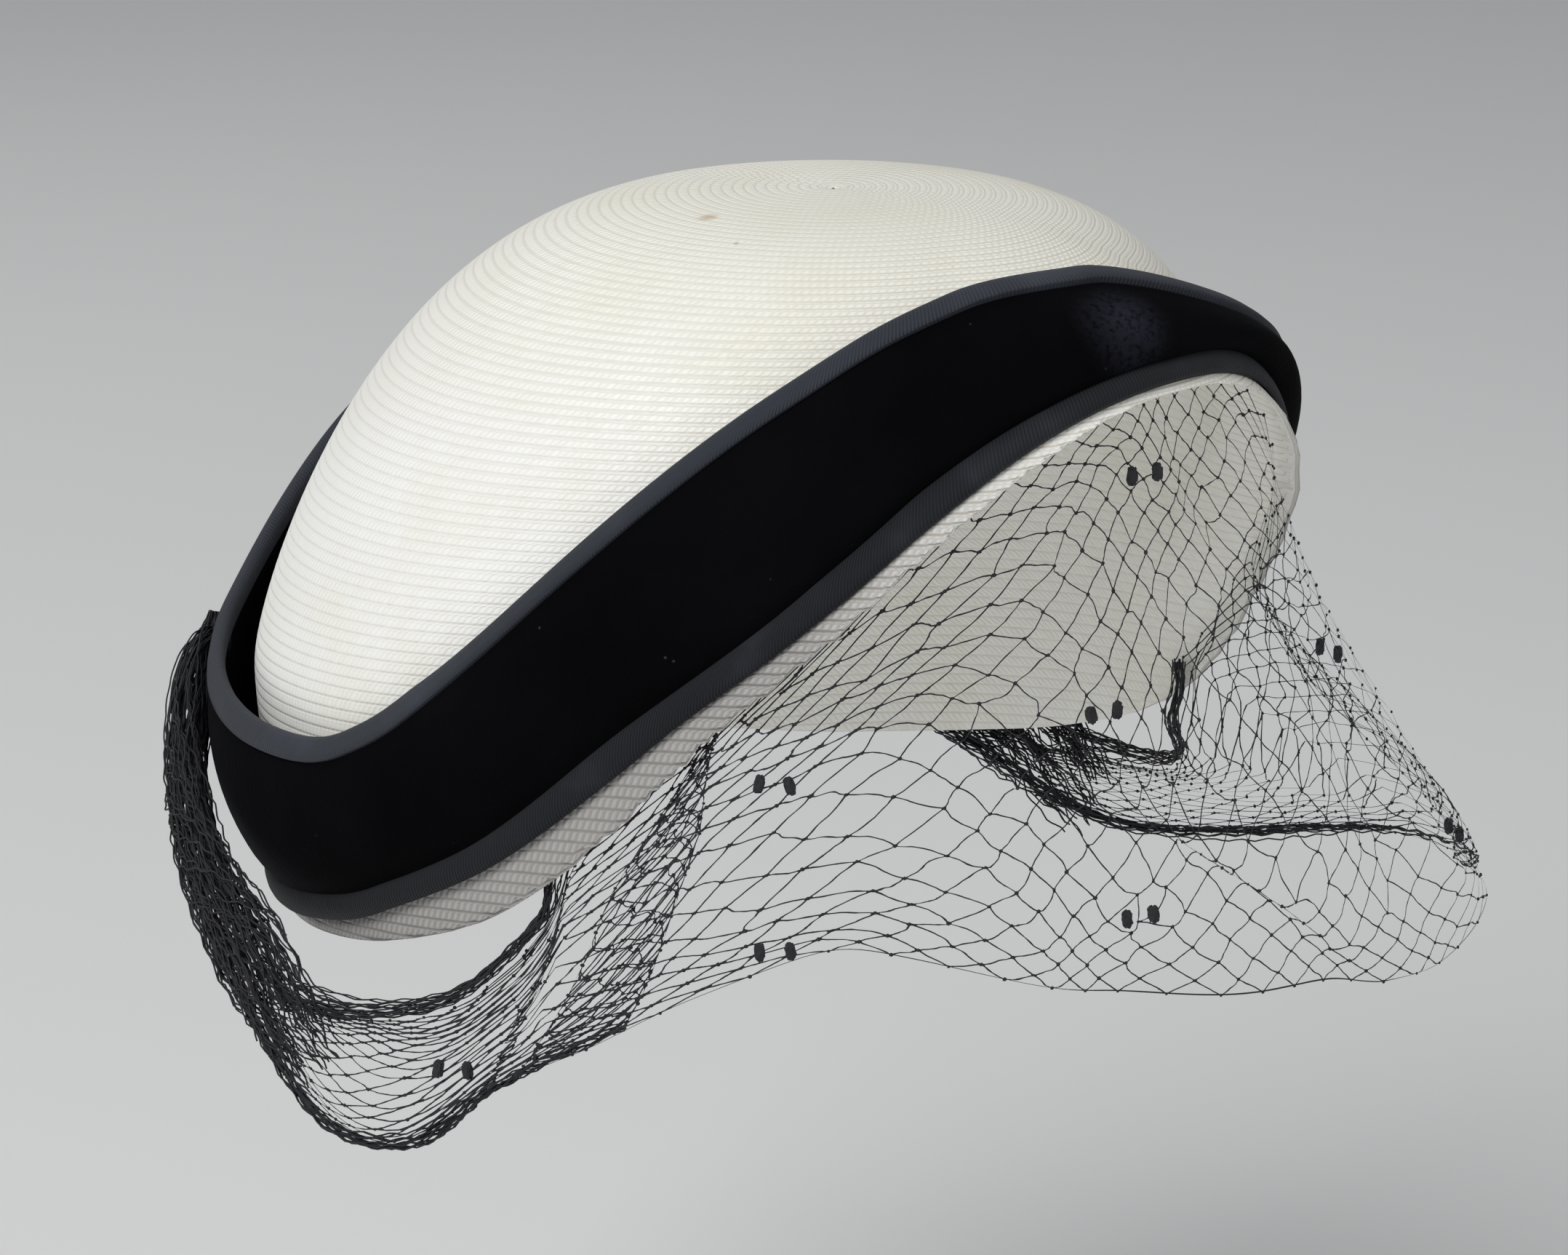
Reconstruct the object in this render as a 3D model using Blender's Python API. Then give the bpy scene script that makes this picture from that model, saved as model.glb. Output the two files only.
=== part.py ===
"""A woman's close straw hat with a turned-up velvet cuff and a nose veil, as it is worn.

The crown is sewn straw braid, cut away on a slant: its edge is high over the forehead, lowest at
the sides and a little higher again at the back. A band of velvet is turned up round it, taped along
both edges, and stands away from the crown at the back. A coarse net veil is held inside the front
edge, and its two ends are gathered into bundles that are caught to the tape at the back.

Metres, +Z up, the front of the hat towards -Y. The origin is in the middle of the head opening.
"""

import math

import bmesh
import bpy
import numpy as np

MM = 0.001

# straw crown, in the plane of its braid rows (millimetres)
HALF_WIDTH = 92.0
HALF_LENGTH = 99.0
DOME_HEIGHT = 88.0
TIP_FORWARD = 40.0
TIP_TILT = 0.124
ROUND_POWER = 3.35
HEIGHT_POWER = 1.60
OVAL_POWER = 1.89
STRAW_WALL = 1.3
BACK_LEAN = math.radians(8.05)

# cuff and its tapes
VELVET_WALL = 2.0
SEAM_GAP = 0.3
UPPER_TAPE_HEIGHT = 5.0
UPPER_TAPE_THICK = 3.2
LOWER_TAPE_HEIGHT = 5.6
FRONT_TAPE_LESS = 1.5
LOWER_TAPE_THICK = 1.6
CUFF_BULGE = 4.5
LEFT_DROP = 23.0
LEFT_STAND = 1.5
LEFT_RISE = 3.0

# net
NET_THICK = 1.5
NET_BAR = 1.7
NET_ACROSS = 32
NET_DOWN = 6
NET_HELD = 64.0
TUFT_SIZE = (1.9, 1.3, 2.4)
TUFT_APART = 5.4

# Each row is one direction round the head: degrees from the front, the same on both sides.
# edge_z is the straw edge, top_z the top of the upper tape, strip the straw left bare under
# the lower tape, stand the cuff's distance from the crown at its top, flare that of the edge.
ROUND = [
    # angle, edge_z, top_z, strip, stand, flare
    (0, 57.5, 84.0, 2.4, 10.0, 12.0),
    (12, 54.5, 84.2, 2.8, 10.0, 13.0),
    (22, 46.6, 83.2, 3.6, 10.0, 14.0),
    (30, 34.4, 80.5, 3.5, 10.0, 14.0),
    (40, 10.7, 75.5, 4.7, 10.0, 13.0),
    (53, -12.3, 60.5, 5.8, 8.5, 9.0),
    (63, -26.9, 42.0, 8.0, 6.5, 5.0),
    (72, -36.0, 21.0, 8.5, 5.5, 2.0),
    (82, -41.0, 2.5, 7.5, 5.0, 0.5),
    (95, -44.5, -5.0, 4.5, 5.5, 0.0),
    (110, -46.0, -4.0, 2.5, 6.5, 0.0),
    (125, -46.0, -1.0, 1.5, 7.0, 0.0),
    (140, -43.0, 3.0, 1.5, 8.5, 0.0),
    (152, -37.0, 10.0, 2.0, 11.0, 0.0),
    (162, -30.0, 22.0, 3.0, 14.0, 0.0),
    (172, -24.0, 37.0, 4.0, 17.0, 0.0),
    (180, -22.0, 44.0, 4.0, 18.0, 0.0),
]

# Lower edge of the net, from the wearer's right (negative) round the front to the left:
# its height and its distance out from the head's oval.
NET_EDGE = [
    # angle, low_z, low_out
    (-98, -66.0, 13.0),
    (-90, -77.0, 12.0),
    (-83, -79.5, 12.0),
    (-76, -73.0, 12.0),
    (-68, -58.0, 12.0),
    (-60, -51.0, 12.0),
    (-51, -40.0, 12.0),
    (-42, -33.0, 12.0),
    (-35, -28.5, 12.5),
    (-28, -31.5, 14.0),
    (-18, -37.0, 19.0),
    (-5, -42.5, 25.0),
    (6, -47.0, 30.0),
    (16, -52.0, 36.0),
    (32, -56.0, 47.0),
    (50, -58.0, 56.0),
    (66, -62.0, 52.0),
    (80, -72.0, 40.0),
    (90, -75.0, 26.0),
    (98, -66.0, 13.0),
]

# The net's gathered end, from where it is caught to the tape down to where the net fans out,
# as places round the head's oval and the bundle's size there. The other side is its mirror.
GATHER = [
    # angle, z, out, wide, deep
    (-147.5, -5.0, 10.4, 5.0, 3.0),
    (-146.5, -11.0, 11.3, 9.0, 4.5),
    (-143.0, -20.0, 12.3, 11.0, 6.0),
    (-136.0, -31.0, 13.1, 12.0, 6.6),
    (-126.0, -41.0, 13.3, 12.0, 6.8),
    (-115.0, -49.0, 13.1, 12.0, 6.4),
    (-106.0, -55.5, 12.8, 13.0, 5.0),
    (-97.2, -61.6, 12.9, 14.0, 2.4),
]

# The net's top edge where it leaves the straw and sags across to the gathered end.
TOP_ROLL = [
    # angle, z, out, wide, deep
    (-73.0, -42.5, 5.0, 3.4, 3.4),
    (-76.0, -46.5, 9.5, 3.6, 3.6),
    (-79.0, -49.0, 11.5, 3.8, 3.6),
    (-85.0, -51.0, 12.5, 4.0, 3.4),
    (-91.5, -52.5, 13.0, 4.2, 2.8),
]

# Chenille tufts on the net, in pairs: how far along and how far down each pair sits.
TUFTS = [
    # across, down
    (-5.0, 0.16),
    (-9.0, 0.54),
    (-41.5, 0.42),
    (-42.0, 0.97),
    (-8.0, 0.90),
    (-73.0, 0.72),
    (38.0, 0.40),
    (44.0, 0.85),
]


def column(table, number, spread=4.0):
    """One column of a table as a smooth function of the angle, alike on both sides."""
    rows = np.array(table, float)
    turn = np.arange(-360.0, 361.0)
    folded = np.abs((turn + 180.0) % 360.0 - 180.0)
    values = np.interp(folded, rows[:, 0], rows[:, number])
    reach = np.arange(-15.0, 16.0)
    weights = np.exp(-0.5 * (reach / spread) ** 2)
    values = np.convolve(values, weights / weights.sum(), mode="same")
    return lambda angle: np.interp((np.asarray(angle) + 180.0) % 360.0 - 180.0, turn, values)


def on_left(angle, start, length, end):
    """0 up to start, 1 from there plus length, and 0 again at end, on the wearer's left."""
    turn = (np.asarray(angle) + 180.0) % 360.0 - 180.0
    rise = np.clip((turn - start) / length, 0.0, 1.0)
    fall = np.clip((end - turn) / 42.0, 0.0, 1.0)
    return rise**2 * (3.0 - 2.0 * rise) * fall**2 * (3.0 - 2.0 * fall)


even_edge = column(ROUND, 1)
even_top = column(ROUND, 2)
strip = column(ROUND, 3)
even_stand = column(ROUND, 4)
flare = column(ROUND, 5)


def edge_z(angle):
    """The slanting edge of the straw, which is a little higher on the wearer's left at the front."""
    return even_edge(angle) + LEFT_RISE * on_left(angle, -2.0, 24.0, 66.0)


def top_z(angle):
    """The top of the upper tape, which dips sooner on the wearer's left."""
    return even_top(angle) - LEFT_DROP * on_left(angle, -4.0, 56.0, 92.0)


def stand(angle):
    """How far the cuff stands from the crown at its top."""
    return even_stand(angle) + LEFT_STAND * on_left(angle, 10.0, 30.0, 92.0)


def slant(height, angle):
    """How much longer a step straight up is than one square to a slanting edge."""
    rise = (height(np.asarray(angle) + 2.0) - height(np.asarray(angle) - 2.0)) / 4.0
    arc = math.radians(1.0) * (HALF_WIDTH + HALF_LENGTH) / 2
    return np.minimum(np.sqrt(1.0 + (rise / arc) ** 2), 1.6)


def tape_height(angle):
    """The lower tape's height, which is less at the front, where it lies on the dome's round."""
    turn = (np.asarray(angle) + 180.0) % 360.0 - 180.0
    return LOWER_TAPE_HEIGHT - FRONT_TAPE_LESS * np.exp(-(turn / 28.0) ** 2)


def signed_power(value, power):
    return np.sign(value) * np.abs(value) ** power


def lean_back(points):
    """From the plane of the braid rows to the pose in which the hat is worn."""
    x, y, z = np.moveaxis(np.asarray(points, float), -1, 0)
    c, s = math.cos(BACK_LEAN), math.sin(BACK_LEAN)
    return np.stack([x, y * c + z * s, z * c - y * s], -1)


def crown(angle, z, out=0.0):
    """A point on the crown at an angle from the front and a height, moved out sideways."""
    turn = np.radians(angle)
    up = np.clip(z / DOME_HEIGHT, 0.0, 0.99999)
    size = (1.0 - up**HEIGHT_POWER) ** (1.0 / ROUND_POWER)
    below = np.clip(-z, 0.0, None)
    size = size - 0.012 * (below / 50.0) ** 2
    out = out + flare(angle) * np.clip(1.0 - (z - edge_z(angle)) / 35.0, 0.0, 1.0) ** 1.5
    x = (HALF_WIDTH * size + out) * signed_power(np.sin(turn), 2.0 / OVAL_POWER)
    y = -(HALF_LENGTH * size + out) * signed_power(np.cos(turn), 2.0 / OVAL_POWER) - TIP_FORWARD * up
    return np.stack(np.broadcast_arrays(x, y, z + TIP_TILT * y * up), -1)


def crown_profile(angle, part):
    """The crown from its tip, part 0, to its edge, part 1."""
    edge = edge_z(angle)
    up = np.clip(edge / DOME_HEIGHT, 0.0, 1.0)
    last = np.where(edge > 0, np.arccos(up ** (HEIGHT_POWER / 2.0)) / (math.pi / 2), 1.0 - edge / 90.0)
    step = last * part
    dome = DOME_HEIGHT * np.cos(np.clip(step, 0.0, 1.0) * math.pi / 2) ** (2.0 / HEIGHT_POWER)
    return crown(angle, np.where(step > 1.0, -(step - 1.0) * 90.0, dome))


def cuff(angle, part, out=0.0):
    """The cuff's outer face from its lower edge, part 0, to its top, part 1."""
    low = edge_z(angle) + (strip(angle) + tape_height(angle)) * slant(edge_z, angle) + 3 * SEAM_GAP
    high = top_z(angle) - UPPER_TAPE_HEIGHT * slant(top_z, angle) - SEAM_GAP
    lift = VELVET_WALL + 0.6 + (stand(angle) - 1.0) * part**1.3
    lift = lift + CUFF_BULGE * 4.0 * part * (1.0 - part)
    return crown(angle, low + (high - low) * part, lift + out)


def oval(angle, z, out):
    """A point round the head, upright as the net hangs."""
    turn = np.radians(angle)
    x = (HALF_WIDTH + out) * np.sin(turn)
    y = -(HALF_LENGTH + out) * np.cos(turn)
    return np.stack(np.broadcast_arrays(x, y, np.asarray(z, float)), -1)


def smooth_table(table, keys, spread=2.5):
    """Every column of a table against its first, rounded off, at the asked keys."""
    rows = np.array(table, float)
    fine = np.linspace(rows[0, 0] - 12, rows[-1, 0] + 12, 600)
    reach = np.arange(-40, 41) * (fine[1] - fine[0])
    weights = np.exp(-0.5 * (reach / spread) ** 2)
    weights /= weights.sum()
    columns = []
    for k in range(1, rows.shape[1]):
        values = np.interp(fine, rows[:, 0], rows[:, k])
        values = np.convolve(np.pad(values, 40, mode="edge"), weights, mode="valid")
        columns.append(np.interp(keys, fine, values))
    return columns


def curve_through(points, count):
    """Evenly spaced points on a smooth curve through a few points."""
    pts = np.array(points, float)
    pad = np.vstack([2 * pts[0] - pts[1], pts, 2 * pts[-1] - pts[-2]])
    fine = []
    for k in range(1, len(pad) - 2):
        a, b, c, d = pad[k - 1 : k + 3]
        for t in np.linspace(0.0, 1.0, 12, endpoint=False):
            fine.append(0.5 * (2 * b + (c - a) * t + (2 * a - 5 * b + 4 * c - d) * t**2
                               + (3 * b - a - 3 * c + d) * t**3))
    fine.append(pts[-1])
    fine = np.array(fine)
    run = np.concatenate([[0.0], np.cumsum(np.linalg.norm(np.diff(fine[:, :3], axis=0), axis=1))])
    want = np.linspace(0.0, run[-1], count)
    return np.stack([np.interp(want, run, fine[:, k]) for k in range(fine.shape[1])], -1)


def top_roll_path(count=12):
    """Centre points and sizes of the rolled top edge, from inside the straw to the bundle."""
    start = []
    for angle, above in ((-70.5, 1.0), (-70.8, -4.0), (-71.5, -8.5)):
        x, y, z = lean_back(crown(angle, edge_z(angle) + above, -3.6))
        start.append((x, y, z, 3.0, 3.0))
    for angle, z, out, wide, deep in TOP_ROLL:
        start.append((*oval(angle, z, out), wide, deep))
    return curve_through(start, count)


def gather_path(count=16):
    return curve_through([(*oval(a, z, o), w, d) for a, z, o, w, d in GATHER], count)


def net_top(across):
    """The net's upper edge: inside the straw at the front, along its own roll at the sides."""
    across = np.asarray(across, float)
    inward = 3.4 + np.clip((np.abs(across) - 52.0) / 8.0, 0.0, 1.0)
    held = lean_back(crown(across, edge_z(across) + 3.0, -inward))
    roll = curve_through(top_roll_path(40)[6:, :3] - np.array([0.0, 0.0, 5.9]), 60)
    place = np.clip((np.abs(across) - NET_HELD) / (98.0 - NET_HELD), 0.0, 1.0) * 59
    loose = np.stack([np.interp(place, np.arange(60), roll[:, k]) for k in range(3)], -1)
    loose[..., 0] *= np.where(across > 0, -1.0, 1.0)
    mix = np.clip((np.abs(across) - NET_HELD) / 3.0, 0.0, 1.0)[..., None]
    mix = np.concatenate([mix**2, mix**2, mix**0.6], -1)
    return held * (1 - mix) + loose * mix


def net(across, down):
    """The net's middle surface, from its top edge, down 0, to its lower edge, down 1."""
    across, down = np.broadcast_arrays(np.asarray(across, float), np.asarray(down, float))
    low_z, low_out = smooth_table(NET_EDGE, across)
    top = net_top(across)
    low = oval(across, low_z, low_out)
    drop = (top[..., 2] - low[..., 2])[..., None]
    inside = np.clip((NET_HELD + 4.0 - np.abs(across)) / 8.0, 0.0, 1.0)[..., None]
    first = top + (low - top) * np.array([0.30, 0.30, 0.33]) * (1 - inside)
    first = first + inside * np.concatenate([np.zeros_like(drop), np.zeros_like(drop), -0.22 * drop], -1)
    second = low + (top - low) * np.array([0.12, 0.12, 0.42])
    t = down[..., None]
    return top * (1 - t) ** 3 + 3 * first * t * (1 - t) ** 2 + 3 * second * t**2 * (1 - t) + low * t**3


def faces_to_object(name, bm, material):
    bmesh.ops.recalc_face_normals(bm, faces=bm.faces[:])
    mesh = bpy.data.meshes.new(name)
    bm.to_mesh(mesh)
    bm.free()
    obj = bpy.data.objects.new(name, mesh)
    bpy.context.scene.collection.objects.link(obj)
    obj.data.materials.append(material)
    return obj


def grid_faces(bm, rows, closed_round):
    """Quads between rows of points, each row a ring or a line."""
    verts = [[bm.verts.new(Vector3(p)) for p in row] for row in rows]
    for a, b in zip(verts, verts[1:]):
        n = len(a)
        for i in range(n if closed_round else n - 1):
            j = (i + 1) % n
            bm.faces.new((a[i], a[j], b[j], b[i]))
    return verts


def Vector3(p):
    return tuple(float(v) * MM for v in p)


def cap(bm, ring, point):
    tip = bm.verts.new(Vector3(point))
    for i, v in enumerate(ring):
        bm.faces.new((v, ring[(i + 1) % len(ring)], tip))


def principled(name, colour, roughness):
    material = bpy.data.materials.new(name)
    material.use_nodes = True
    shader = material.node_tree.nodes["Principled BSDF"]
    shader.inputs["Base Color"].default_value = (*colour, 1.0)
    shader.inputs["Roughness"].default_value = roughness
    shader.inputs["Metallic"].default_value = 0.0
    return material


def straw_crown(material):
    angles = np.arange(0.0, 360.0, 6.0)
    parts = (np.arange(1, 13) / 12.0) ** 1.15
    bm = bmesh.new()
    rings = [lean_back(crown_profile(angles, part)) for part in parts]
    verts = grid_faces(bm, rings, True)
    cap(bm, verts[0], lean_back(crown(0.0, DOME_HEIGHT)))
    bmesh.ops.recalc_face_normals(bm, faces=bm.faces[:])
    bmesh.ops.solidify(bm, geom=bm.faces[:], thickness=STRAW_WALL * MM)
    return faces_to_object("straw_crown", bm, material)


def velvet_cuff(material):
    angles = np.arange(0.0, 360.0, 5.0)
    bm = bmesh.new()
    rings = [lean_back(cuff(angles, part)) for part in np.linspace(0.0, 1.0, 6)]
    grid_faces(bm, rings, True)
    bmesh.ops.recalc_face_normals(bm, faces=bm.faces[:])
    bmesh.ops.solidify(bm, geom=bm.faces[:], thickness=VELVET_WALL * MM)
    return faces_to_object("velvet_cuff", bm, material)


def upper_edge(angle, rise):
    """The cuff's top edge carried on upwards, for the tape that covers it."""
    top = lean_back(cuff(angle, 1.0, -VELVET_WALL / 2))
    slope = top - lean_back(cuff(angle, 0.94, -VELVET_WALL / 2))
    slope /= np.linalg.norm(slope, axis=-1, keepdims=True)
    tall = UPPER_TAPE_HEIGHT * slant(top_z, angle)[:, None]
    return top + slope * (SEAM_GAP + tall * rise)


def lower_edge(angle, rise):
    """The middle of the lower tape, which lies on the straw under the cuff."""
    height = edge_z(angle) + (strip(angle) + tape_height(angle) * rise) * slant(edge_z, angle)
    return lean_back(crown(angle, height, 0.95 + LOWER_TAPE_THICK / 2))


def tape(name, material, place, thick, section):
    """A tape round the hat: its section, up and outwards, carried round the edge that it covers."""
    angles = np.arange(0.0, 360.0, 5.0)
    foot, head = place(angles, 0.0), place(angles, 1.0)
    along = np.roll(foot, -1, 0) - np.roll(foot, 1, 0)
    side = np.cross(along, head - foot)
    side /= np.linalg.norm(side, axis=1, keepdims=True)
    rings = [foot + (head - foot) * up + side * (out * thick / 2) for up, out in section]
    bm = bmesh.new()
    verts = grid_faces(bm, rings, True)
    first, last = verts[0], verts[-1]
    for i in range(len(first)):
        j = (i + 1) % len(first)
        bm.faces.new((last[i], last[j], first[j], first[i]))
    return faces_to_object(name, bm, material)


def net_normal(across, down):
    """Outward direction of the net's surface."""
    side = net(across + 0.4, down) - net(across - 0.4, down)
    fall = net(across, np.minimum(down + 0.01, 1.0)) - net(across, np.maximum(down - 0.01, 0.0))
    normal = np.cross(side, fall)
    normal /= np.linalg.norm(normal)
    return normal if np.dot(normal, net(across, down) * (1.0, 1.0, 0.0)) > 0 else -normal


def net_lattice(name, material):
    """The net as a coarse lattice of diamonds, cut right through between its bars."""
    bm = bmesh.new()
    cache = {}
    moved = [crossing_near(across, down) for across, down in TUFTS]

    def place(i, j):
        """Evenly spaced, but drawn aside so that a crossing lies under each pair of tufts."""
        across, down = -98.0 + 196.0 * i / NET_ACROSS, j / NET_DOWN
        for ci, cj, shift_across, shift_down in moved:
            near = math.exp(-((i - ci) ** 2 + (j - cj) ** 2) / 2.0)
            across += shift_across * near * min(1.0, i / 3.0, (NET_ACROSS - i) / 3.0)
            down += shift_down * near * min(1.0, j, NET_DOWN - j)
        return across, down

    def pair(i, j):
        """The front and back vertex at one place of the lattice."""
        key = (round(i, 4), round(j, 4))
        if key not in cache:
            across, down = place(i, j)
            middle = net(across, down)
            step = net_normal(across, down) * NET_THICK / 2
            cache[key] = (bm.verts.new(Vector3(middle + step)), bm.verts.new(Vector3(middle - step)))
        return cache[key]

    def wall(a, b):
        (front_a, back_a), (front_b, back_b) = pair(*a), pair(*b)
        bm.faces.new((front_a, front_b, back_b, back_a))

    for i in range(NET_ACROSS + 1):
        for j in range(NET_DOWN + 1):
            if (i + j) % 2 == 0:
                continue
            around = [(i - 1, j), (i, j - 1), (i + 1, j), (i, j + 1)]
            corners = [c for c in around if 0 <= c[0] <= NET_ACROSS and 0 <= c[1] <= NET_DOWN]
            middle = np.mean(corners, axis=0)
            here = net(*place(*middle))
            ring = [net(*place(*c)) for c in corners]
            sides = [np.linalg.norm(np.cross(b - a, here - a)) / np.linalg.norm(b - a)
                     for a, b in zip(ring, ring[1:] + ring[:1])]
            keep = max(1.0 - NET_BAR / min(sides), 0.35)
            hole = [tuple(middle + (np.array(c) - middle) * keep) for c in corners]
            n = len(corners)
            for k in range(n):
                m = (k + 1) % n
                four = [pair(*corners[k]), pair(*corners[m]), pair(*hole[m]), pair(*hole[k])]
                bm.faces.new([v[0] for v in four])
                bm.faces.new([v[1] for v in reversed(four)])
                wall(hole[k], hole[m])
            if n == 3:
                for a, b in zip(corners, corners[1:] + corners[:1]):
                    along_edge = (a[0] == b[0] and a[0] in (0, NET_ACROSS)) or (
                        a[1] == b[1] and a[1] in (0, NET_DOWN))
                    if along_edge:
                        wall(a, b)
    lattice = faces_to_object(name, bm, material)
    for ci, cj, shift_across, shift_down in moved:
        across, down = place(ci, cj)
        turn = math.radians(across)
        for side in (-0.5, 0.5):
            centre = net(across, down) + net_normal(across, down) * 0.7
            centre = centre + np.array([math.cos(turn), math.sin(turn), 0.0]) * TUFT_APART * side
            bead = bmesh.new()
            tuft(bead, centre, turn)
            fuse(lattice, faces_to_object("tuft", bead, material))
    return lattice


def crossing_near(across, down):
    """The lattice crossing nearest to a pair of tufts, and how far it is drawn to it."""
    i, j = (across + 98.0) * NET_ACROSS / 196.0, down * NET_DOWN
    ci, cj = round(i), round(j)
    if (ci + cj) % 2:
        ci += 1 if i > ci else -1
    return ci, cj, (i - ci) * 196.0 / NET_ACROSS, (j - cj) / NET_DOWN


def fuse(body, other):
    """Joins a solid into another as one closed body."""
    cut = body.modifiers.new("fuse", "BOOLEAN")
    cut.operation = "UNION"
    cut.solver = "EXACT"
    cut.object = other
    with bpy.context.temp_override(object=body, active_object=body):
        bpy.ops.object.modifier_apply(modifier="fuse")
    bpy.data.objects.remove(other)


def tuft(bm, centre, turn):
    """One chenille tuft, a small closed bead of pile."""
    made = bmesh.ops.create_uvsphere(bm, u_segments=6, v_segments=5, radius=1.0)
    for v in made["verts"]:
        x, y, z = (c * s for c, s in zip(v.co, TUFT_SIZE))
        v.co = Vector3(centre + (x * math.cos(turn) - y * math.sin(turn),
                                 x * math.sin(turn) + y * math.cos(turn), z))


def bundle(name, material, path, lobes, mirror):
    """Gathered net as one lobed rope, wider or flatter as its path says."""
    centres = path[:, :3].copy()
    if mirror:
        centres[:, 0] *= -1
    along = np.gradient(centres, axis=0)
    along /= np.linalg.norm(along, axis=1, keepdims=True)
    outward = centres * np.array([1.0, 1.0, 0.0])
    outward -= (outward * along).sum(1, keepdims=True) * along
    outward /= np.linalg.norm(outward, axis=1, keepdims=True)
    across = np.cross(along, outward)
    bm = bmesh.new()
    rings = []
    for c, o, a, (wide, deep) in zip(centres, outward, across, path[:, 3:5]):
        ring = []
        for k in range(2 * lobes):
            turn = math.pi * k / lobes
            reach = 1.0 if k % 2 == 0 else 0.84
            ring.append(c + reach * (a * math.cos(turn) * wide / 2 + o * math.sin(turn) * deep / 2))
        rings.append(ring)
    verts = grid_faces(bm, rings, True)
    bm.faces.new(verts[0][::-1])
    bm.faces.new(verts[-1])
    return faces_to_object(name, bm, material)


def main():
    for old in list(bpy.data.objects):
        bpy.data.objects.remove(old)
    straw = principled("straw", (0.80, 0.76, 0.68), 0.65)
    velvet = principled("velvet", (0.010, 0.010, 0.012), 0.9)
    ribbon = principled("ribbon", (0.020, 0.022, 0.032), 0.7)
    straw_crown(straw)
    velvet_cuff(velvet)
    folded = [(0.0, -0.9), (0.0, 0.9), (0.6, 1.0), (0.9, 0.7), (1.0, 0.0), (0.9, -0.7), (0.6, -1.0)]
    laid = [(0.0, -1.0), (0.0, 0.6), (0.15, 1.0), (0.85, 1.0), (1.0, 0.6), (1.0, -1.0)]
    tape("upper_binding", ribbon, upper_edge, UPPER_TAPE_THICK, folded)
    tape("lower_binding", ribbon, lower_edge, LOWER_TAPE_THICK, laid)
    net_black = principled("net_thread", (0.012, 0.012, 0.014), 0.8)
    net_lattice("veil_net", net_black)
    for side, mirror in (("right", False), ("left", True)):
        bundle("veil_gather_" + side, net_black, gather_path(), 6, mirror)
        bundle("veil_roll_" + side, net_black, top_roll_path(), 4, mirror)


main()
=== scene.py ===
"""Close straw hat with a turned-up velvet cuff and a short net veil, dressed for the camera."""

import math

import bmesh
import bpy
import numpy as np
from mathutils import Matrix, Vector


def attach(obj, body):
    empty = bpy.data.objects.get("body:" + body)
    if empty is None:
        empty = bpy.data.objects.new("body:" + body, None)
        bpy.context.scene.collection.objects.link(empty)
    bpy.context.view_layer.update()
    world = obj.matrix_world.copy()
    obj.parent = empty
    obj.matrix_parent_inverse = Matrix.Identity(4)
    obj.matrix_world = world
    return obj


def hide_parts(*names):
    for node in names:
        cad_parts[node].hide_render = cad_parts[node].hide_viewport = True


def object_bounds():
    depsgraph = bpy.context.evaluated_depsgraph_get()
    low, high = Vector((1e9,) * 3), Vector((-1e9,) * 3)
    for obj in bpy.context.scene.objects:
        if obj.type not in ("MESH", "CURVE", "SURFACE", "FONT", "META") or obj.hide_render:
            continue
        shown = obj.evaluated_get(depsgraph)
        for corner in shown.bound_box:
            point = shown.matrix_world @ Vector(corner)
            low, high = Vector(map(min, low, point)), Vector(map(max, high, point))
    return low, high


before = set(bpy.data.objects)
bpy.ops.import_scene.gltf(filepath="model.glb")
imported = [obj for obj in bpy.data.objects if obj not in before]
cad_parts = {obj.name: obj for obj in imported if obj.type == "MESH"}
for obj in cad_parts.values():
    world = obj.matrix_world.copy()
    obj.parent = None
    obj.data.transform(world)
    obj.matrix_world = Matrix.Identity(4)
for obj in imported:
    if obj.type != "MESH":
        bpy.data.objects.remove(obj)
cad_low, cad_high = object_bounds()
cad_low, cad_high = list(cad_low), list(cad_high)


# Straw crown.
# Fine white straw braid, about 2 mm wide, sewn in one spiral from the tip down to the slanting
# edge. Each row laps a little over the next, and the rows are cut off by the edge at the front.
MM = 0.001
HALF_WIDTH = 92.0
HALF_LENGTH = 99.0
MEAN_RADIUS = (HALF_WIDTH + HALF_LENGTH) / 2
DOME_HEIGHT = 88.0
TIP_FORWARD = 40.0
TIP_TILT = 0.124
ROUND_POWER = 3.35
HEIGHT_POWER = 1.60
OVAL_POWER = 1.89
STRAW_WALL = 1.3
BACK_LEAN = math.radians(8.05)
LOWEST_EDGE = -47.0
LEFT_DROP = 23.0
LEFT_STAND = 1.5
LEFT_RISE = 3.0
BRAID_PITCH = 2.07
BRAID_RELIEF = 0.06
TIP_ROWS = 1.64
LOWER_TAPE_HEIGHT = 5.6
FRONT_TAPE_LESS = 1.5
STRAW_WHITE = (0.93, 0.93, 0.90)
# Cream for the straw's yellowed patches, and for the painted shade towards the top of the dome
STRAW_CREAM = (0.84, 0.82, 0.68)
STRAW_THREAD = (0.50, 0.42, 0.28)
# Straw and thread colours for painted shade on the strip below the lower tape at the sides, where
# the cuff casts its shadow
STRAW_IN_SHADE = (0.36, 0.35, 0.335)
THREAD_IN_SHADE = (0.15, 0.14, 0.13)
STITCH_LENGTH = 1.5
STAINS = [
    # place in metres, reach, colour
    ((-0.0307, -0.0271, 0.0865), 0.0018, (0.45, 0.28, 0.12)),
    ((-0.0370, -0.0412, 0.0850), 0.0007, (0.10, 0.10, 0.10)),
]

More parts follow.
